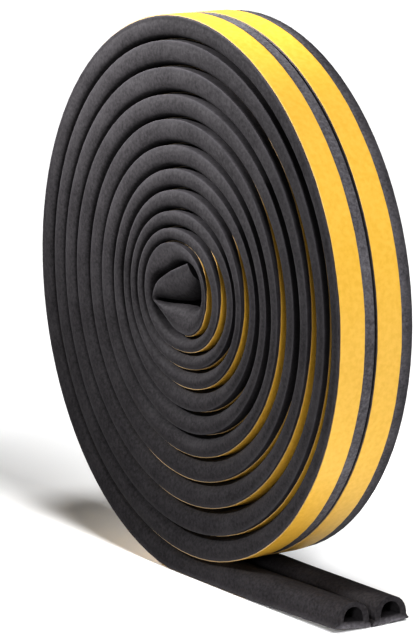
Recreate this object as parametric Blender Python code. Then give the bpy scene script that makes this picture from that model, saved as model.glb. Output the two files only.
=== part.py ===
"""Self-adhesive rubber door weatherstrip: a twin D seal wound into a coil, with its free end on the floor.

The coil stands on its rim. X runs along the free end, Y along the coil's axis and Z up.
The origin is on the floor, below the middle of the object's box. Units are metres.
"""

import math

import bmesh
import bpy

MM = 0.001

# The extruded section: two hollow D seals side by side, joined by a thin web that is torn to part them
SEAL_WIDTH = 9.0 * MM
SEAL_HEIGHT = 5.5 * MM
LIP_INSET = 0.55 * MM
LIP_HEIGHT = 1.1 * MM
BASE_THICKNESS = 1.4 * MM
CROWN_WALL = 1.0 * MM
CHAMBER_WIDTH = 5.2 * MM
WEB_WIDTH = 0.7 * MM
WEB_THICKNESS = 0.6 * MM
NOTCH_DEPTH = 0.25 * MM
DOME_POWER = 2.3

# The release liner on each seal's adhesive, which is laid along one side of the base
LINER_WIDTH = 6.0 * MM
LINER_THICKNESS = 0.2 * MM
LINER_MARGIN = 0.15 * MM
ADHESIVE_FILM = 0.3 * MM

# The coil: its radius over the liner shrinks from the floor contact inwards, and the turns tighten as they go.
# Its own weight flattens the soft rim on the floor, over the foot's length to the left of the axis.
COIL_RADIUS = 63.6 * MM
BORE_RADIUS = 8.9 * MM
TURNS = 11
FIRST_PITCH = 5.8 * MM
FOOT_LENGTH = 11.0 * MM
GROOVE_DEPTH = 2.6 * MM
SHOULDER_INSET = 0.35 * MM
FLANK_INSET = 0.75 * MM
LINER_STOP = 10.0 / 360

# The free end, whose two seals fold up a little about the web towards the cut
TAIL_LENGTH = 56.5 * MM
FLAT_LENGTH = 22.0 * MM
FRONT_FOLD = 12.0
BACK_FOLD = 2.0
CHAMBER_START = 2.0 * MM
VALLEY_START = 0.5 * MM
PRESSED_CLEARANCE = 0.3 * MM

# The inner end of the strip, folded back on itself inside the bore
FOLD_THICKNESS = 4.8 * MM
FOLD_GAP = 0.6 * MM
FOLD_RISE = 1.4 * MM
FOLD_OVERLAP = 1.5 * MM
FOLD_SINK = 0.35 * MM
BORE_CLEARANCE = 0.5 * MM

# Facets
STEPS = 40
DOME_STEPS = 8
TAIL_STEPS = 5
HAIRPIN_STEPS = 6

HALF_WIDTH = SEAL_WIDTH + WEB_WIDTH / 2
SEAL_CENTRE = (SEAL_WIDTH + WEB_WIDTH) / 2
DOME_HALF_WIDTH = SEAL_WIDTH / 2 - LIP_INSET
BACKING = LINER_THICKNESS + ADHESIVE_FILM
PITCH_LOSS = 2 * (BORE_RADIUS - COIL_RADIUS + FIRST_PITCH * TURNS) / TURNS ** 2


def coil_radius(turn):
    """Radius over the liner after this many turns, counted inwards from the floor contact."""
    return COIL_RADIUS - FIRST_PITCH * turn + PITCH_LOSS / 2 * turn * turn


# The axis is set so that the coil's left and right edges are as far from the origin
AXIS_X = (coil_radius(0.25) - coil_radius(0.75)) / 2
AXIS_Z = math.sqrt(COIL_RADIUS ** 2 - FOOT_LENGTH ** 2)


def on_coil(turn, depth, y):
    """A point of the coil, this deep below the liner's outer face. Turns run from the floor, up the left side."""
    radius = coil_radius(turn) - depth
    angle = 2 * math.pi * turn
    height = AXIS_Z - radius * math.cos(angle)
    return (AXIS_X - radius * math.sin(angle), y, max(height, min(depth, BACKING)))


def seal_height(along):
    """The seals' height at this place on the free end: the coil presses them down where it stands on them."""
    pressed = AXIS_Z - coil_radius(1) - PRESSED_CLEARANCE
    share = min(along / FLAT_LENGTH, 1)
    return pressed + (SEAL_HEIGHT - pressed) * share


def fold_angle(along, side):
    """How far a seal has folded up about the web at this distance along the free end."""
    share = (along - FLAT_LENGTH) / (TAIL_LENGTH - FLAT_LENGTH)
    share = min(max(share, 0), 1)
    return math.radians(FRONT_FOLD if side < 0 else BACK_FOLD) * share


def on_tail(along, y, height):
    """A point of the free end, this high above the floor before its seal folds up about the web."""
    angle = fold_angle(along, y)
    lifted = abs(y) * math.sin(angle) + height * math.cos(angle)
    across = abs(y) * math.cos(angle) - height * math.sin(angle)
    return (AXIS_X + along, math.copysign(across, y) if y else 0, lifted)


def dome(half_width, height, steps):
    """Points of a D's rounded back, from its left foot over the crown to its right foot."""
    points = []
    for step in range(steps + 1):
        angle = math.pi * (1 - step / steps)
        across = math.copysign(abs(math.cos(angle)) ** (2 / DOME_POWER), math.cos(angle))
        points.append((half_width * across, height * math.sin(angle) ** (2 / DOME_POWER)))
    return points


def object_from(name, verts, faces, material=None):
    """A mesh object from points and faces, with its faces turned outwards."""
    mesh = bpy.data.meshes.new(name)
    mesh.from_pydata(verts, [], faces)
    shell = bmesh.new()
    shell.from_mesh(mesh)
    bmesh.ops.recalc_face_normals(shell, faces=shell.faces)
    shell.to_mesh(mesh)
    shell.free()
    mesh.set_sharp_from_angle(angle=math.radians(35))
    obj = bpy.data.objects.new(name, mesh)
    bpy.context.scene.collection.objects.link(obj)
    if material:
        mesh.materials.append(material)
    return obj


def material(name, colour, roughness):
    made = bpy.data.materials.new(name)
    made.use_nodes = True
    shader = made.node_tree.nodes["Principled BSDF"]
    shader.inputs["Base Color"].default_value = (*colour, 1)
    shader.inputs["Roughness"].default_value = roughness
    shader.inputs["Metallic"].default_value = 0
    return made


def sweep(rings):
    """Points and faces of a closed solid through rings of points, with a cap at each end."""
    size = len(rings[0])
    verts = [point for ring in rings for point in ring]
    faces = [list(range(size)), list(range(len(verts) - size, len(verts)))]
    for ring in range(len(rings) - 1):
        for here in range(size):
            after = (here + 1) % size
            low, high = ring * size, (ring + 1) * size
            faces.append((low + here, low + after, high + after, high + here))
    return verts, faces


def flank(turn, side):
    """One turn's end face at this place: the lip, the shoulder, the dome's flank and the foot of the groove."""
    pitch = coil_radius(turn) - coil_radius(turn + 1)
    levels = ((0, 0), (SHOULDER_INSET, 0.25), (FLANK_INSET, 0.7), (GROOVE_DEPTH, 1))
    return [on_coil(turn, BACKING + share * pitch, side * (HALF_WIDTH - inset)) for inset, share in levels]


def notch(turn, depth):
    """The three points of the notch under the web, on the coil's rim."""
    across = ((-WEB_WIDTH / 2, 0), (0, depth), (WEB_WIDTH / 2, 0))
    return [on_coil(turn, BACKING + inset, y) for y, inset in across]


def tail_upper(along):
    """The free end's upper outline at this place, from its front lip over both seals to its back lip."""
    back_seal = [(SEAL_CENTRE + y, BACKING + LIP_HEIGHT + z)
                 for y, z in dome(DOME_HALF_WIDTH, seal_height(along) - LIP_HEIGHT, DOME_STEPS)]
    front_seal = [(-y, z) for y, z in reversed(back_seal)]
    valley = [(y, BACKING + WEB_THICKNESS) for y in (-WEB_WIDTH / 2, 0, WEB_WIDTH / 2)]
    return [on_tail(along, y, z) for y, z in front_seal + valley + back_seal]


def tail_lower(along):
    """The free end's base at this place, from its back lip over the notch to its front lip."""
    across = (HALF_WIDTH, WEB_WIDTH / 2, 0, -WEB_WIDTH / 2, -HALF_WIDTH)
    return [on_tail(along, y, BACKING + (0 if y else NOTCH_DEPTH)) for y in across]


def tail_stations(first):
    """Distances along the free end where its outline is set."""
    ramp = [FLAT_LENGTH + (TAIL_LENGTH - FLAT_LENGTH) * step / TAIL_STEPS for step in range(TAIL_STEPS + 1)]
    return [first] + ramp


class Shell:
    """Collects points and faces of one solid."""

    def __init__(self):
        self.verts = []
        self.faces = []

    def add(self, points):
        first = len(self.verts)
        self.verts.extend(points)
        return list(range(first, len(self.verts)))

    def between(self, row, next_row):
        """Quads between two rows of equally many points."""
        for here in range(len(row) - 1):
            self.faces.append((row[here], row[here + 1], next_row[here + 1], next_row[here]))


def strip_shell():
    """The coil as one solid whose turns show on its ends, running on into the free end."""
    shell = Shell()
    count = TURNS * STEPS + 1
    front = [shell.add(flank(step / STEPS, -1)) for step in range(count)]
    back = [shell.add(flank(step / STEPS, 1)) for step in range(count)]
    for rows in (front, back):
        for here in range(count - 1):
            shell.between(rows[here], rows[here + 1])
            if here + 1 + STEPS < count:
                groove_foot = (rows[here][-1], rows[here + 1][-1])
                shell.faces.append((*groove_foot, rows[here + 1 + STEPS][0], rows[here + STEPS][0]))

    # The bore's wall, along the last turn, and the strip's inner end
    for here in range(count - 1 - STEPS, count - 1):
        shell.faces.append((front[here][-1], front[here + 1][-1], back[here + 1][-1], back[here][-1]))
    shell.faces.append(front[-1] + back[-1][::-1])
    bore_start = count - 1 - STEPS
    shell.faces.append((front[bore_start][-1], back[bore_start][-1], back[-1][0], front[-1][0]))

    # The rim, along the first turn, with the notch running out where the free end passes below it
    rim = []
    for step in range(STEPS + 1):
        depth = NOTCH_DEPTH if step < STEPS else 0
        rim.append([front[step][0]] + shell.add(notch(step / STEPS, depth)) + [back[step][0]])
    for here in range(STEPS - 1):
        shell.between(rim[here], rim[here + 1])

    # The seam above the free end, split where the free end's upper outline begins on it
    flank_points = len(front[0])
    hidden = DOME_STEPS + 1 - (flank_points - 1)
    foot_y = HALF_WIDTH - GROOVE_DEPTH
    web_edge = WEB_WIDTH / 2
    spaced = [foot_y + (web_edge - foot_y) * (n + 1) / (hidden + 1) for n in range(hidden)]
    seam_front = shell.add([on_coil(1, BACKING, -y) for y in spaced])
    seam_back = shell.add([on_coil(1, BACKING, y) for y in reversed(spaced)])
    seam = rim[STEPS]
    last = rim[STEPS - 1]
    shell.faces.append([last[0], last[1], seam[1]] + seam_front[::-1] + [front[0][-1], seam[0]])
    shell.faces.append((last[1], last[2], seam[2], seam[1]))
    shell.faces.append((last[2], last[3], seam[3], seam[2]))
    shell.faces.append([last[4], last[3], seam[3]] + seam_back + [back[0][-1], seam[4]])

    # The free end, from the first turn's outline to the cut
    upper = front[0][1:] + seam_front + seam[1:4] + seam_back + back[0][:0:-1]
    ring = upper + rim[0][::-1]
    for along in tail_stations(VALLEY_START):
        next_ring = shell.add(tail_upper(along) + tail_lower(along))
        shell.between(ring + ring[:1], next_ring + next_ring[:1])
        ring = next_ring
    shell.faces.append(ring)
    return shell


def chamber(name, side):
    """The cutter for one seal's hollow, run on past the cut end."""
    rings = []
    for along in tail_stations(CHAMBER_START):
        outline = dome(CHAMBER_WIDTH / 2, seal_height(along) - BASE_THICKNESS - CROWN_WALL, DOME_STEPS)
        floor = BACKING + BASE_THICKNESS
        rings.append([on_tail(along, side * SEAL_CENTRE + y, floor + z) for y, z in outline])
    overrun = BASE_THICKNESS
    rings.append([(x + overrun, y, z) for x, y, z in rings[-1]])
    cutter = object_from(name, *sweep(rings))
    cutter.hide_render = True
    cutter.display_type = "WIRE"
    return cutter


def folded_end():
    """The strip's inner end, bent back over itself, as a bar of the turns' thickness inside the bore."""
    half = FOLD_THICKNESS / 2
    bend = (FOLD_THICKNESS + FOLD_GAP) / 2
    lower = BORE_RADIUS - BACKING + FOLD_SINK - half
    left_wall = coil_radius(TURNS + 0.25) - BACKING - BORE_CLEARANCE
    right_wall = coil_radius(TURNS + 0.75) - BACKING - BORE_CLEARANCE
    bend_x = half + bend - left_wall
    path = [(FOLD_OVERLAP, -lower)]
    for step in range(HAIRPIN_STEPS + 1):
        angle = math.pi * (0.5 + step / HAIRPIN_STEPS)
        path.append((bend_x + bend * math.cos(angle), bend - lower - bend * math.sin(angle)))
    path.append((right_wall - FOLD_RISE / 2, 2 * bend - lower + FOLD_RISE))
    outline = offset_line(path, half) + offset_line(path, -half)[::-1]
    reach = HALF_WIDTH - FLANK_INSET
    rings = [[(AXIS_X + x, y, AXIS_Z + z) for x, z in outline] for y in (-reach, reach)]
    bar = object_from("folded_end_helper", *sweep(rings))
    bar.hide_render = True
    bar.display_type = "WIRE"
    return bar


def offset_line(path, distance):
    """The path moved sideways by this distance."""
    moved = []
    for here, (x, z) in enumerate(path):
        before = path[max(here - 1, 0)]
        after = path[min(here + 1, len(path) - 1)]
        run, rise = after[0] - before[0], after[1] - before[1]
        length = math.hypot(run, rise)
        moved.append((x - distance * rise / length, z + distance * run / length))
    return moved


def liner(name, front_edge, paper):
    """One release liner: along the free end's underside, then round the coil's rim."""
    edges = (front_edge, front_edge + LINER_WIDTH)
    corners = [(edges[0], 0), (edges[1], 0), (edges[1], LINER_THICKNESS), (edges[0], LINER_THICKNESS)]
    rings = [[on_tail(along, y, depth) for y, depth in corners] for along in reversed(tail_stations(0)[1:])]
    last_step = math.floor((1 - LINER_STOP) * STEPS)
    for step in range(last_step + 1):
        rings.append([on_coil(step / STEPS, depth, y) for y, depth in corners])
    return object_from(name, *sweep(rings), paper)


def cut(target, tool, operation):
    modifier = target.modifiers.new(tool.name, "BOOLEAN")
    modifier.object = tool
    modifier.operation = operation
    modifier.solver = "EXACT"


def main():
    for obj in list(bpy.data.objects):
        bpy.data.objects.remove(obj)

    rubber = material("sponge_rubber", (0.032, 0.031, 0.034), 0.72)
    paper = material("release_paper", (0.95, 0.56, 0.05), 0.45)

    shell = strip_shell()
    strip = object_from("rubber_strip", shell.verts, shell.faces, rubber)
    cut(strip, folded_end(), "UNION")
    cut(strip, chamber("front_chamber_cutter", -1), "DIFFERENCE")
    cut(strip, chamber("back_chamber_cutter", 1), "DIFFERENCE")

    first_edge = -HALF_WIDTH + LINER_MARGIN
    liner("release_liner_front", first_edge, paper)
    liner("release_liner_back", first_edge + SEAL_WIDTH + WEB_WIDTH, paper)


main()
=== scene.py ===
"""Looks of a coil of self-adhesive sponge rubber door seal, on its rim, free end on the floor.

Everything is in metres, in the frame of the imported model: X along the free end, Y along the coil's
axis, Z up.
"""
import math

import bmesh
import bpy
from mathutils import Matrix, Vector, noise


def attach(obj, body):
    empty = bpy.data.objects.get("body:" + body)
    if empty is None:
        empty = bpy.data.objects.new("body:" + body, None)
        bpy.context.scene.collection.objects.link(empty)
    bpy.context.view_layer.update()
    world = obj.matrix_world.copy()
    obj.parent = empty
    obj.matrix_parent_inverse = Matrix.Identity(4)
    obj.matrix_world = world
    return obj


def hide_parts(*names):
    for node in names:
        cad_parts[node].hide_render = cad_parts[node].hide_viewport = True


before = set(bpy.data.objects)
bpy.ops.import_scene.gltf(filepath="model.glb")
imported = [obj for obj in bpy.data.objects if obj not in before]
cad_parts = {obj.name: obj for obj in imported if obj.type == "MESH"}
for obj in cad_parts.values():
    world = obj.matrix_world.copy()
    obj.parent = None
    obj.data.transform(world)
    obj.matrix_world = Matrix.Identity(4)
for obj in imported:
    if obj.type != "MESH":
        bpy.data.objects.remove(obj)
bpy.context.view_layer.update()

# --------------------------------------------------------------------------------------------------
# The camera
# A long lens looks from the right of the coil's near end and a little above it: the end shows as a
# tall oval, the rim with its two liners on the right, and the strip's cut end towards the viewer.
# --------------------------------------------------------------------------------------------------
CAMERA_AIM = Vector((-0.00291, 0, 0.0557))
CAMERA_DISTANCE = 0.70043
CAMERA_AZIMUTH = math.radians(57.9)
CAMERA_ELEVATION = math.radians(10.58)
CAMERA_ROLL = math.radians(-1.17)

camera_data = bpy.data.cameras.new("camera")
camera_data.lens = 180
camera_data.sensor_width = 36
camera_data.clip_start = 0.02
camera_data.clip_end = 50
camera = bpy.data.objects.new("camera", camera_data)
bpy.context.scene.collection.objects.link(camera)
backwards = Vector((math.sin(CAMERA_AZIMUTH) * math.cos(CAMERA_ELEVATION),
                    -math.cos(CAMERA_AZIMUTH) * math.cos(CAMERA_ELEVATION),
                    math.sin(CAMERA_ELEVATION)))
rightwards = Vector((math.cos(CAMERA_AZIMUTH), math.sin(CAMERA_AZIMUTH), 0))
upwards = backwards.cross(rightwards)
rolled_right = rightwards * math.cos(CAMERA_ROLL) + upwards * math.sin(CAMERA_ROLL)
rolled_up = upwards * math.cos(CAMERA_ROLL) - rightwards * math.sin(CAMERA_ROLL)
orientation = Matrix((rolled_right, rolled_up, backwards)).transposed().to_4x4()
camera.matrix_world = Matrix.Translation(CAMERA_AIM + backwards * CAMERA_DISTANCE) @ orientation
bpy.context.scene.camera = camera

# --------------------------------------------------------------------------------------------------
# The rubber strip
# Twin D seal of black EPDM sponge rubber, extruded and cured as one length: two hollow D's with a
# thin web between them, which is torn to part them. It is wound with its adhesive side out, its
# inner end is folded back in the bore, and its free end lies on the floor, pressed by the coil.
# --------------------------------------------------------------------------------------------------
MM = 0.001
SEAL_HEIGHT = 5.5 * MM
HALF_WIDTH = 9.35 * MM
LINER_DEPTH = 0.25 * MM
CLEARANCE = 0.03 * MM
AXIS_X = 1.431 * MM
AXIS_Z = 62.64 * MM
TURNS = 11
STEPS_PER_TURN = 92
# Half of the short way that sets the strip's direction at a station, in turns
DIRECTION_NUDGE = 0.002
# How gently the rim passes into the flat foot on the floor
FOOT_EASE = 0.3 * MM

# The free end: its flat part lies pressed under the turn of this radius, then its seals fold up
TAIL_LENGTH = 56.4 * MM
FLAT_LENGTH = 22.0 * MM
RADIUS_OVER_TAIL = 58.0 * MM
FRONT_FOLD = math.radians(6)
BACK_FOLD = math.radians(2)
# Its stations stand closer together towards the coil
TAIL_STEPS = 24
TAIL_SPACING_POWER = 0.9
# A metre of it counts as so many turns of the rim where something changes along the strip
TURNS_PER_METRE = 2.5

# The coil's radius over the liner at each quarter turn, from the floor contact up the left side
QUARTER_RADII = [
    63.52, 62.08, 60.64, 59.22, 57.9, 56.9, 55.4, 54.0, 52.4, 51.8, 49.6, 48.0, 46.3, 46.5, 43.7,
    42.4, 40.6, 40.8, 38.4, 36.9, 35.2, 35.3, 32.8, 32.0, 30.4, 30.0, 27.7, 27.3, 25.4, 26.1, 23.1,
    22.9, 20.4, 22.9, 18.4, 18.8, 16.2, 19.9, 14.4, 14.2, 12.5, 16.8, 10.9, 8.95, 8.9]
# How thick the innermost turn may be at each eighth of its length, beside and below the folded end
LAST_TURN_THICKNESS = [3.5, 3.4, 3.3, 6.4, 4.0, 2.5, 3.0, 5.2, 6.3]
# The inner end's liner face: x, z, the direction of the seal's back in x and z, and thickness
FOLDED_END = [
    (1.43, 53.74, 0.0, 1.0, 6.3), (-3.0, 54.6, 0.1, 0.99, 5.6), (-7.0, 56.8, 0.3, 0.95, 3.2),
    (-10.3, 58.9, 0.75, 0.66, 1.6), (-12.0, 60.3, 1.0, -0.1, 1.9), (-11.6, 62.3, 0.7, -0.7, 2.7),
    (-9.5, 64.8, 0.3, -0.95, 4.9), (-4.5, 67.4, 0.15, -0.99, 7.1), (-0.5, 69.0, 0.36, -0.93, 7.7),
    (2.9, 70.2, 0.68, -0.73, 5.9)]
FOLD_STEPS = 10
FOLD_STEPS_PER_TURN = 90


def smooth_between(values, place):
    """A smooth curve through evenly spaced values or tuples of them, read at this place."""
    here = min(max(int(place), 0), len(values) - 2)
    t = place - here
    a, b, c, d = (values[min(max(here + step, 0), len(values) - 1)] for step in (-1, 0, 1, 2))
    if not isinstance(b, tuple):
        a, b, c, d = (a,), (b,), (c,), (d,)
    blended = tuple(
        0.5 * (2 * q + (r - p) * t + (2 * p - 5 * q + 4 * r - s) * t * t
               + (3 * q - p - 3 * r + s) * t ** 3)
        for p, q, r, s in zip(a, b, c, d))
    return blended if len(blended) > 1 else blended[0]


def liner_face(turns):
    """X and Z of the liner's outer face after this many turns, flattened where it stands."""
    radius = smooth_between(QUARTER_RADII, turns * 4) * MM
    angle = 2 * math.pi * turns
    height = AXIS_Z - radius * math.cos(angle)
    if turns < 0.25:
        height = (height + math.hypot(height, FOOT_EASE)) / 2
    return Vector((AXIS_X - radius * math.sin(angle), height))


def wander(place, seed, wave=3.1):
    """A smooth random number between about -1 and 1 that changes along the strip."""
    spot = Vector((place * wave, seed * 7.3, 1.7))
    return 2 * noise.noise(spot, noise_basis="PERLIN_ORIGINAL")


def bumps(turns, places):
    """Sum of smooth bumps, each given by its place along the coil, its width and its height."""
    return sum(height * math.exp(-((turns - centre) / width) ** 2)
               for centre, width, height in places)


# One station after the other along the strip: the free end, the coil's turns and the folded end
stations = []
for step in range(TAIL_STEPS + 1):
    along = TAIL_LENGTH * (1 - (step / TAIL_STEPS) ** TAIL_SPACING_POWER)
    stations.append({
        "place": -along * TURNS_PER_METRE, "turns": 0.0,
        "face": Vector((AXIS_X + along, 0)), "inward": Vector((0, 1)),
        "room": AXIS_Z - math.sqrt(max(RADIUS_OVER_TAIL ** 2 - along ** 2, 0)),
        "fold": max(along - FLAT_LENGTH, 0) / (TAIL_LENGTH - FLAT_LENGTH)})
for step in range(1, TURNS * STEPS_PER_TURN + 1):
    turns = step / STEPS_PER_TURN
    face = liner_face(turns)
    ahead = liner_face(min(turns + DIRECTION_NUDGE, TURNS)) - liner_face(turns - DIRECTION_NUDGE)
    if turns < TURNS - 1:
        room = (liner_face(turns + 1) - face).length
    else:
        room = smooth_between(LAST_TURN_THICKNESS, (turns - TURNS + 1) * 8) * MM
    stations.append({
        "place": turns, "turns": turns, "face": face,
        "inward": Vector((ahead.y, -ahead.x)).normalized(), "room": room, "fold": 0.0})
for step in range(1, FOLD_STEPS * (len(FOLDED_END) - 1) + 1):
    x, z, back_x, back_z, thickness = smooth_between(FOLDED_END, step / FOLD_STEPS)
    turns = TURNS + step / FOLD_STEPS_PER_TURN
    stations.append({
        "place": turns, "turns": turns, "face": Vector((x, z)) * MM,
        "inward": Vector((back_x, back_z)).normalized(),
        "room": thickness * MM + CLEARANCE, "fold": 0.0})

# Where one seal is squeezed narrower than its neighbours, so that its end stands back in the face
FRONT_DIPS = [(3.7, 0.18, 0.45), (5.7, 0.18, 0.4), (6.72, 0.14, 0.8), (8.72, 0.16, 0.6),
              (1.1, 0.2, 0.15), (4.3, 0.3, 0.2), (7.25, 0.2, 0.2)]
BACK_DIPS = [(2.3, 0.16, 0.7), (4.75, 0.2, 0.6), (6.1, 0.15, 0.5), (7.6, 0.2, 0.8),
             (9.4, 0.15, 0.5)]
# Everywhere else the ends stand back by this much at least, and by up to twice this much more
LEAST_STEP_BACK = 0.04
UNEVENNESS = 0.06
# The strip passes from lying to wound over this many turns on each side of the floor contact
WINDING_EASE = 0.06
# The seal's height as a share of its free height: the least, and the most in the loose last turns
FLATTEST = 0.15
LOOSE_TURNS = 0.8
LOOSE_STRETCH = 1.5
# How much of its full swell a seal has when it isn't pressed, and how little it may have
BULGE_AT_FULL_HEIGHT = 0.8
LEAST_BULGE = 0.5
# Where round the coil the shoulders press hardest on the next turn, and how fast that fades
SNUG_ANGLE = 2.0
SNUG_POWER = 0.7
# How far winding pulls the lips inwards, in millimetres
LIP_PULL = 0.32

for station in stations:
    turns = station["turns"]
    tallest = 1.0 if turns <= TURNS - LOOSE_TURNS else LOOSE_STRETCH
    height = (station["room"] - LINER_DEPTH - CLEARANCE) / SEAL_HEIGHT
    station["squash"] = min(max(height, FLATTEST), tallest)
    wound = min(max((station["place"] + WINDING_EASE) / (2 * WINDING_EASE), 0), 1)
    swell = BULGE_AT_FULL_HEIGHT + (1 - station["squash"])
    station["bulge"] = wound * min(max(swell, LEAST_BULGE), 1)
    round_coil = 0.5 + 0.5 * math.cos(2 * math.pi * turns - SNUG_ANGLE)
    station["snug"] = wound * round_coil ** SNUG_POWER
    station["pulled"] = LIP_PULL * station["bulge"] * min(turns ** 4, 1) * MM
    for side, dips, seed in (("front", FRONT_DIPS, 1), ("back", BACK_DIPS, 2)):
        step_back = wound * (LEAST_STEP_BACK + UNEVENNESS * (1 + wander(turns, seed)))
        station[f"{side}_shift"] = (bumps(turns, dips) + step_back) * MM

# The section is drawn in millimetres, each D about its own centre at this distance from the web
SEAL_CENTRE = 4.85
# Half of one D: distance from its centre, height above the base, and how far it swells if pressed
SIDE = [(4.38, 0.0, 0.0), (4.5, 0.1, 0.0), (4.5, 0.34, 0.0), (4.16, 0.68, 0.2), (3.96, 1.15, 0.47),
        (3.94, 1.8, 0.56), (3.83, 2.6, 0.52), (3.56, 3.4, 0.38), (3.06, 4.2, 0.25),
        (2.36, 4.85, 0.15), (1.5, 5.25, 0.1), (0.7, 5.46, 0.05), (0.0, 5.5, 0.0)]
# The side by the web swells into it by this share of the outer side's swell
INNER_SWELL = 0.45
# How much further the outer shoulder swells, by height, where the turns press hardest
SHOULDER = [(2.0, 0.0), (2.6, 0.12), (3.4, 0.46), (4.2, 0.9), (4.85, 1.2), (5.25, 1.1), (5.5, 0.0)]
LIP_HEIGHT = 0.8
WEB_TOP = 0.7
NOTCH = [(0.28, 0.0), (0.22, 0.5), (0.0, 0.6)]
# Half of one D's hollow: distance from its centre and height
CHAMBER = [(2.45, 1.4), (2.45, 1.9), (2.3, 2.7), (1.95, 3.5), (1.4, 4.1), (0.7, 4.42), (0.0, 4.5)]


def seal_section():
    """The twin seal's outline from the web's notch round: reach, side, height, swell and lip."""
    half = [(reach, height, 0.0, 0.0) for reach, height in reversed(NOTCH)]
    half += [(3.5, 0.0, 0.0, 0.0), (6.5, 0.0, 0.0, 0.0)]
    half += [(SEAL_CENTRE + out, height, swell, max(1 - (height / LIP_HEIGHT) ** 2, 0))
             for out, height, swell in SIDE]
    half += [(SEAL_CENTRE - out, height, -swell * INNER_SWELL, 0.0)
             for out, height, swell in reversed(SIDE[4:-1])]
    half += [(0.42, 0.9, 0.0, 0.0), (0.3, WEB_TOP, 0.0, 0.0), (0.0, WEB_TOP - 0.02, 0.0, 0.0)]
    right = [(reach, 1.0, height, swell, lip) for reach, height, swell, lip in half]
    left = [(reach, -1.0, height, swell, lip)
            for reach, height, swell, lip in reversed(half[1:-1])]
    return right + left


def chamber_section(side):
    """The outline of one D's hollow."""
    half = [(SEAL_CENTRE + out, side, height, 0.0, 0.0) for out, height in CHAMBER]
    return half + [(SEAL_CENTRE - out, side, height, 0.0, 0.0)
                   for out, height in reversed(CHAMBER[:-1])]


def shoulder(reach, height, swell):
    """How far a point of a section swells at its outer shoulder."""
    if reach < SEAL_CENTRE or not swell:
        return 0.0
    for (low, less), (high, more) in zip(SHOULDER, SHOULDER[1:]):
        if low <= height <= high:
            return less + (more - less) * (height - low) / (high - low)
    return 0.0


def add(tree, kind, links=(), **settings):
    """Adds a node with its settings, and feeds its inputs: (input, value or output socket)."""
    node = tree.nodes.new(kind)
    for name, value in settings.items():
        setattr(node, name, value)
    for name, value in links:
        if isinstance(value, bpy.types.NodeSocket):
            tree.links.new(value, node.inputs[name])
        else:
            node.inputs[name].default_value = value
    return node


def extrusion_tree():
    """Geometry Nodes: carries a section along the strip's path by the strip's own rule."""
    tree = bpy.data.node_groups.new("extruded along the strip", "GeometryNodeTree")
    for name, kind in (("Path", "Geometry"), ("Section", "Object"),
                       ("Depth below liner", "Float"), ("Material", "Material")):
        tree.interface.new_socket(name=name, in_out="INPUT", socket_type=f"NodeSocket{kind}")
    tree.interface.new_socket(name="Mesh", in_out="OUTPUT", socket_type="NodeSocketGeometry")
    given = tree.nodes.new("NodeGroupInput").outputs

    def first_output(kind, links, **settings):
        return add(tree, kind, links, **settings).outputs[0]

    def read(name, kind="FLOAT"):
        return add(tree, "GeometryNodeInputNamedAttribute", [("Name", name)],
                   data_type=kind).outputs["Attribute"]

    def sums(operation, *values):
        return first_output("ShaderNodeMath", list(enumerate(values)), operation=operation)

    def by_side(front, back):
        return first_output("ShaderNodeMix", [(0, is_back), (2, read(front)), (3, read(back))])

    section = add(tree, "GeometryNodeObjectInfo", [("Object", given["Section"])])
    path = first_output("GeometryNodeMeshToCurve", [("Mesh", given["Path"])])
    outline = first_output("GeometryNodeMeshToCurve", [("Mesh", section.outputs["Geometry"])])
    swept = first_output("GeometryNodeCurveToMesh", [("Curve", path), ("Profile Curve", outline)])

    side = read("side")
    is_back = sums("GREATER_THAN", side, 0.0)
    shift = by_side("front_shift", "back_shift")
    fold = by_side("front_fold", "back_fold")
    swollen = sums("MULTIPLY_ADD", read("swell"), read("bulge"), read("reach"))
    filled = sums("MULTIPLY_ADD", read("shoulder"), read("snug"), swollen)
    curled = sums("SUBTRACT", filled, sums("MULTIPLY", read("lip"), read("pulled")))
    reach = sums("SUBTRACT", curled, sums("MULTIPLY", shift, read("share")))
    height = sums("MULTIPLY_ADD", read("rise"), read("squash"), given["Depth below liner"])
    cosine, sine = sums("COSINE", fold), sums("SINE", fold)
    lifted = sums("ADD", sums("MULTIPLY", reach, sine), sums("MULTIPLY", height, cosine))
    across = sums("SUBTRACT", sums("MULTIPLY", reach, cosine), sums("MULTIPLY", height, sine))
    sideways = first_output("ShaderNodeCombineXYZ", [("Y", sums("MULTIPLY", across, side))])
    raised = first_output("ShaderNodeVectorMath",
                          [(0, read("inward", "FLOAT_VECTOR")), ("Scale", lifted)],
                          operation="SCALE")
    base = first_output("ShaderNodeVectorMath",
                        [(0, read("face", "FLOAT_VECTOR")), (1, sideways)], operation="ADD")
    place = first_output("ShaderNodeVectorMath", [(0, base), (1, raised)], operation="ADD")

    placed = first_output("GeometryNodeSetPosition", [("Geometry", swept), ("Position", place)])
    smooth = first_output("GeometryNodeSetShadeSmooth", [("Geometry", placed)])
    real = first_output("GeometryNodeRealizeInstances", [("Geometry", smooth)])
    painted = first_output("GeometryNodeSetMaterial",
                           [("Geometry", real), ("Material", given["Material"])])
    add(tree, "NodeGroupOutput", [("Mesh", painted)])
    return tree


EXTRUSION = extrusion_tree()


def line_object(name, points, closed, numbers, vectors):
    """A mesh of points and edges that carries numbers and vectors at its points."""
    mesh = bpy.data.meshes.new(name)
    edges = [(here, here + 1) for here in range(len(points) - 1)]
    if closed:
        edges.append((len(points) - 1, 0))
    mesh.from_pydata(points, edges, [])
    for key, values in numbers.items():
        mesh.attributes.new(key, "FLOAT", "POINT").data.foreach_set("value", values)
    for key, values in vectors.items():
        flat = [number for vector in values for number in vector]
        mesh.attributes.new(key, "FLOAT_VECTOR", "POINT").data.foreach_set("vector", flat)
    made = bpy.data.objects.new(name, mesh)
    bpy.context.scene.collection.objects.link(made)
    return made


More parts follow.
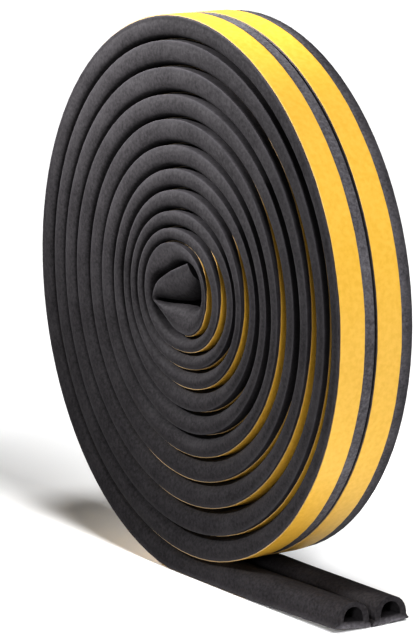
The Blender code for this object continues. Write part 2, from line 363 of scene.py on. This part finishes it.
# The rubber's base face on the rim is painted lighter grey, as painted light falling on the rim, and
# less so at its outer lip, in turns and millimetres
RIM_TURNS = 0.97
BASE_TOP = 0.05
LIP_REACH = 9
LIP_RIM_LIGHT = 0.3
# Points of the liner's section above this height belong to its cut edge or its inner face
CUT_EDGE_HEIGHT = 0.01


def extruded(path_stations, section, depth, material, whole_shift=False):
    """The mesh that the extrusion tree makes of a section along these stations."""
    numbers = {key: [station[key] for station in path_stations]
               for key in ("front_shift", "back_shift", "squash", "bulge", "snug", "pulled")}
    for key, angle in (("front_fold", FRONT_FOLD), ("back_fold", BACK_FOLD)):
        numbers[key] = [station["fold"] * angle for station in path_stations]
    numbers["rim"] = [1.0 if station["turns"] < RIM_TURNS else 0.0 for station in path_stations]
    vectors = {key: [(station[key].x, 0, station[key].y) for station in path_stations]
               for key in ("face", "inward")}
    path = line_object("path", vectors["face"], False, numbers, vectors)

    carried = [{
        "reach": reach * MM, "side": side, "rise": height * MM, "swell": swell * MM,
        "shoulder": shoulder(reach, height, swell) * MM, "lip": lip,
        "base": 0.0 if height > BASE_TOP else LIP_RIM_LIGHT if reach > LIP_REACH else 1.0,
        "cut": 1.0 if height > CUT_EDGE_HEIGHT else 0.0,
        "share": 1.0 if whole_shift else reach * MM / HALF_WIDTH,
    } for reach, side, height, swell, lip in section]
    outline = line_object(
        "section", [(reach * side * MM, height * MM, 0) for reach, side, height, _, _ in section],
        True, {key: [point[key] for point in carried] for key in carried[0]}, {})

    modifier = path.modifiers.new("extrusion", "NODES")
    modifier.node_group = EXTRUSION
    inputs = {item.name: item.identifier for item in EXTRUSION.interface.items_tree
              if item.in_out == "INPUT"}
    modifier[inputs["Section"]] = outline
    modifier[inputs["Depth below liner"]] = depth
    modifier[inputs["Material"]] = material
    graph = bpy.context.evaluated_depsgraph_get()
    mesh = bpy.data.meshes.new_from_object(path.evaluated_get(graph))
    path.modifiers.remove(modifier)
    for helper in (path, outline):
        bpy.data.objects.remove(helper)
    return mesh


def close_end(shell, station, distance):
    """Fills the open outline that lies within this distance of the station's liner face."""
    outline = [edge for edge in shell.edges if edge.is_boundary
               and (edge.verts[0].co.xz - station["face"]).length < distance]
    bmesh.ops.triangle_fill(shell, use_beauty=True, edges=outline)


def finished(name, shell, mesh):
    """An object of the closed shell, with its faces pointing outwards and its corners sharp."""
    bmesh.ops.recalc_face_normals(shell, faces=shell.faces)
    shell.to_mesh(mesh)
    shell.free()
    mesh.set_sharp_from_angle(angle=math.radians(38))
    made = bpy.data.objects.new(name, mesh)
    bpy.context.scene.collection.objects.link(made)
    return made


def linear(hex_colour):
    """An sRGB hex colour as linear RGBA."""
    channels = [int(hex_colour[place:place + 2], 16) / 255 for place in (1, 3, 5)]
    return tuple(c / 12.92 if c <= 0.04045 else ((c + 0.055) / 1.055) ** 2.4
                 for c in channels) + (1,)


def new_material(name, specular):
    """A new material with its node tree and its shader."""
    made = bpy.data.materials.new(name)
    made.use_nodes = True
    shader = made.node_tree.nodes["Principled BSDF"]
    shader.inputs["Specular IOR Level"].default_value = specular
    return made, made.node_tree, shader


def mottle(tree, place, scale, detail, **inputs):
    """A noise texture of this scale."""
    links = [("Vector", place), ("Scale", scale), ("Detail", detail), *inputs.items()]
    return add(tree, "ShaderNodeTexNoise", links).outputs[0]


def blend(tree, share, first, second):
    """A colour that passes from the first to the second, each a socket or linear RGBA."""
    return add(tree, "ShaderNodeMix", [(0, share), (6, first), (7, second)],
               data_type="RGBA").outputs[2]


def carried_number(tree, name):
    """A number that the mesh carries at its points."""
    return add(tree, "ShaderNodeAttribute", attribute_name=name).outputs["Fac"]


def relief(tree, height, strength, distance, *below):
    """Normals bumped by this height, over the relief below it if there is one."""
    links = [("Height", height), ("Strength", strength), ("Distance", distance)]
    links += [("Normal", normal) for normal in below]
    return add(tree, "ShaderNodeBump", links).outputs[0]


def sponge_rubber():
    """Cured EPDM sponge: matt charcoal skin with a fine pebbled grain, lighter at the lips (partly
    wear, partly a painted highlight) and on the rim's base (painted light).
    """
    made, tree, shader = new_material("EPDM sponge rubber, extruded skin", 0.15)
    place = add(tree, "ShaderNodeTexCoord").outputs["Object"]
    grain = mottle(tree, place, 1500.0, 3.0, Roughness=0.65)
    cloud = mottle(tree, place, 110.0, 3.0)
    patchy = mottle(tree, place, 620.0, 2.0)
    mixed = add(tree, "ShaderNodeMix", [(0, 0.3), (2, grain), (3, cloud)]).outputs[0]
    tone = add(tree, "ShaderNodeMapRange", [("Value", mixed), (1, 0.36), (2, 0.64)]).outputs[0]
    speckled = blend(tree, tone, linear("#1f1d1f"), linear("#343234"))
    # The lips are painted lighter in patches: partly wear, partly a painted highlight along the lip
    # edges
    lip_highlight_and_wear = add(tree, "ShaderNodeMath", [(0, carried_number(tree, "lip")), (1, patchy)],
                 operation="MULTIPLY").outputs[0]
    with_lip_highlight = blend(tree, lip_highlight_and_wear, speckled, linear("#3e3c3f"))
    # The base face on the rim is painted a lighter grey: painted light on the rim, less of it at the
    # outer lip
    base = add(tree, "ShaderNodeMath",
               [(0, carried_number(tree, "base")), (1, carried_number(tree, "rim"))],
               operation="MULTIPLY").outputs[0]
    lit_rim_base = blend(tree, tone, linear("#474548"), linear("#6a686c"))
    tree.links.new(blend(tree, base, with_lip_highlight, lit_rim_base), shader.inputs["Base Color"])
    matt = add(tree, "ShaderNodeMapRange", [("Value", patchy), (3, 0.66), (4, 0.84)]).outputs[0]
    tree.links.new(matt, shader.inputs["Roughness"])
    fine = relief(tree, grain, 0.55, 0.06 * MM)
    tree.links.new(relief(tree, cloud, 0.35, 0.5 * MM, fine), shader.inputs["Normal"])
    return made


RUBBER = sponge_rubber()
strip_mesh = extruded(stations, seal_section(), LINER_DEPTH, RUBBER)

# The hollows go so many stations deep from both cut ends and are closed out of sight. An end's
# outline is known by its distance from the liner face of its station.
TAIL_HOLLOW_STEPS = 21
INNER_HOLLOW_STEPS = 20
HOLLOW_DISTANCE = 8 * MM
STRIP_DISTANCE = 11 * MM
shell = bmesh.new()
shell.from_mesh(strip_mesh)
for hollow_stations, blind in ((stations[:TAIL_HOLLOW_STEPS], -1),
                               (stations[-INNER_HOLLOW_STEPS:], 0)):
    for side in (-1.0, 1.0):
        hollow_mesh = extruded(hollow_stations, chamber_section(side), LINER_DEPTH, RUBBER)
        hollow = bmesh.new()
        hollow.from_mesh(hollow_mesh)
        close_end(hollow, hollow_stations[blind], HOLLOW_DISTANCE)
        hollow.to_mesh(hollow_mesh)
        hollow.free()
        shell.from_mesh(hollow_mesh)
        bpy.data.meshes.remove(hollow_mesh)
for end in (stations[0], stations[-1]):
    close_end(shell, end, STRIP_DISTANCE)
strip = finished("twin_d_seal", shell, strip_mesh)
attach(strip, "root")
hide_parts("rubber_strip")

# --------------------------------------------------------------------------------------------------
# The release liners
# One band of yellow silicone-coated paper on each seal's adhesive, slit to 6 mm and laid along one
# edge of the base. It runs under the free end and round every turn, up to the fold in the bore.
# --------------------------------------------------------------------------------------------------
LINER_WIDTH = 6.0
LINER_THICKNESS = 0.2
# From the web, in millimetres: the near liner's outer edge and the far liner's inner edge
NEAR_LINER_OUTER = 9.2
FAR_LINER_INNER = 0.5
# How far the near liner stands back from the lip at each quarter turn: it was laid by hand
NEAR_INSETS = [
    0.3, 0.3, 0.25, 0.2, 0.05, 0.8, 2.4, 1.1, 0.9, 1.2, 2.6, 0.7, 0.06, 1.2, 3.0, 2.3, 0.05, 1.2,
    2.6, 0.5, 0.05, 1.2, 3.0, 2.7, 1.6, 1.8, 3.0, 2.7, 1.2, 1.3, 2.6, 0.6, 0.06, 1.2, 2.6, 1.9,
    0.06, 1.0, 2.2, 0.3, 0.06, 0.8, 1.2, 0.15, 0.1]
TAIL_INSET = 2.6
# The edges also wander by this much, in long waves and in short ones
EDGE_WANDER = 0.05
LONG_WAVES = 9.0
SHORT_WAVES = 60.0
# The cut edges turn in a little towards the rubber, and points beside them keep the band flat
EDGE_DROP = 0.03
EDGE_ROUND = 0.05
EDGE_BAND = 0.3
# The liners end just where the fold begins
PAPER_END = TURNS + 0.02
PAPER_DISTANCE = 4 * MM


def release_paper():
    """Silicone-coated kraft: smooth, slightly glossy, golden yellow, its cut edge dull and tan."""
    made, tree, shader = new_material("silicone-coated release paper, yellow", 0.5)
    place = add(tree, "ShaderNodeTexCoord").outputs["Object"]
    fibres = mottle(tree, place, 900.0, 4.0)
    cockle = mottle(tree, place, 90.0, 2.0)
    mottled = add(tree, "ShaderNodeMapRange",
                  [("Value", fibres), (1, 0.35), (2, 0.65)]).outputs[0]
    sheet = blend(tree, mottled, linear("#cba343"), linear("#d3ab4e"))
    whole = blend(tree, carried_number(tree, "cut"), sheet, linear("#9c8460"))
    tree.links.new(whole, shader.inputs["Base Color"])
    gloss = add(tree, "ShaderNodeMapRange", [("Value", cockle), (3, 0.34), (4, 0.5)]).outputs[0]
    tree.links.new(gloss, shader.inputs["Roughness"])
    fine = relief(tree, fibres, 0.2, 0.02 * MM)
    tree.links.new(relief(tree, cockle, 0.3, 0.3 * MM, fine), shader.inputs["Normal"])
    return made


def paper_section(side, near, far):
    """The band's outline; all of it moves with the lip, as its last value of 1 says."""
    on_face = (near + EDGE_ROUND, near + EDGE_BAND, (near + far) / 2, far - EDGE_BAND,
               far - EDGE_ROUND)
    points = [(near, EDGE_DROP), *((reach, 0.0) for reach in on_face), (far, EDGE_DROP),
              (far, LINER_THICKNESS), (near, LINER_THICKNESS)]
    return [(reach, side, height, 0.0, 1.0) for reach, height in points]


PAPER = release_paper()
paper_stations = [dict(station) for station in stations[1:] if station["turns"] < PAPER_END]
for station in paper_stations:
    station["squash"] = 1.0
    near_inset = smooth_between(NEAR_INSETS, station["turns"] * 4)
    near_inset += TAIL_INSET * station["fold"] ** 0.5
    for side, inset, seed in (("front", near_inset, 3), ("back", 0.0, 4)):
        for wave_seed, waves in ((seed, LONG_WAVES), (seed + 2, SHORT_WAVES)):
            inset += EDGE_WANDER * wander(station["place"], wave_seed, waves)
        station[f"{side}_shift"] += inset * MM
liners = [("release_liner_near", "release_liner_front",
           paper_section(-1.0, NEAR_LINER_OUTER - LINER_WIDTH, NEAR_LINER_OUTER)),
          ("release_liner_far", "release_liner_back",
           paper_section(1.0, FAR_LINER_INNER, FAR_LINER_INNER + LINER_WIDTH))]
for name, node, section in liners:
    paper_mesh = extruded(paper_stations, section, 0.0, PAPER, whole_shift=True)
    band = bmesh.new()
    band.from_mesh(paper_mesh)
    for end in (paper_stations[0], paper_stations[-1]):
        close_end(band, end, PAPER_DISTANCE)
    liner = finished(name, band, paper_mesh)
    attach(liner, "root")
    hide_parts(node)

# --------------------------------------------------------------------------------------------------
# The floor and the light
# A plain white floor in a dim studio. One broad light comes from the right, nearly in the coil's
# plane, and one from above. A gridded softbox at the upper left lights the coil's near face, and a
# small one at the front right lights the free end.
# --------------------------------------------------------------------------------------------------
FLOOR_REACH = 8
AMBIENT_STRENGTH = 0.06

corners = [(x * FLOOR_REACH, y * FLOOR_REACH, 0) for x, y in ((-1, -1), (1, -1), (1, 1), (-1, 1))]
floor_mesh = bpy.data.meshes.new("floor")
floor_mesh.from_pydata(corners, [], [(0, 1, 2, 3)])
floor = bpy.data.objects.new("floor", floor_mesh)
bpy.context.scene.collection.objects.link(floor)
white, _, white_shader = new_material("matt white studio floor", 0.1)
white_shader.inputs["Base Color"].default_value = (0.9, 0.9, 0.9, 1)
white_shader.inputs["Roughness"].default_value = 0.9
floor_mesh.materials.append(white)

sky = bpy.data.worlds.new("studio")
sky.use_nodes = True
background = sky.node_tree.nodes["Background"]
background.inputs["Color"].default_value = (1, 1, 1, 1)
background.inputs["Strength"].default_value = AMBIENT_STRENGTH
bpy.context.scene.world = sky


def new_lamp(name, kind, energy):
    """A lamp of this kind, with its data."""
    data = bpy.data.lights.new(name, kind)
    data.energy = energy
    lamp = bpy.data.objects.new(name, data)
    bpy.context.scene.collection.objects.link(lamp)
    return lamp, data


def distant_light(name, energy, spread, direction):
    """A light so far away that it falls evenly, with shadows as soft as its spread."""
    lamp, data = new_lamp(name, "SUN", energy)
    data.angle = math.radians(spread)
    lamp.rotation_euler = Vector(direction).to_track_quat("Z", "Y").to_euler()


def softbox(name, energy, size, spread, place, aim):
    """A square soft light near the coil, with a grid that keeps its light within a cone."""
    lamp, data = new_lamp(name, "AREA", energy)
    data.size = size
    data.spread = math.radians(spread)
    lamp.location = place
    lamp.rotation_euler = (Vector(place) - Vector(aim)).to_track_quat("Z", "Y").to_euler()


distant_light("light from the right", 1.9, 16, (0.95, -0.12, 0.8))
distant_light("light from above", 1.5, 16, (0.25, -0.1, 0.95))
softbox("gridded softbox on the face", 0.19, 0.08, 29, (-0.2, -0.25, 0.31), (-0.024, 0, 0.12))
softbox("gridded softbox on the free end", 0.008, 0.05, 16, (0.24, -0.22, 0.09), (0.05, 0, 0.004))

bpy.context.scene.view_settings.view_transform = "Standard"
bpy.context.scene.view_settings.look = "High Contrast"
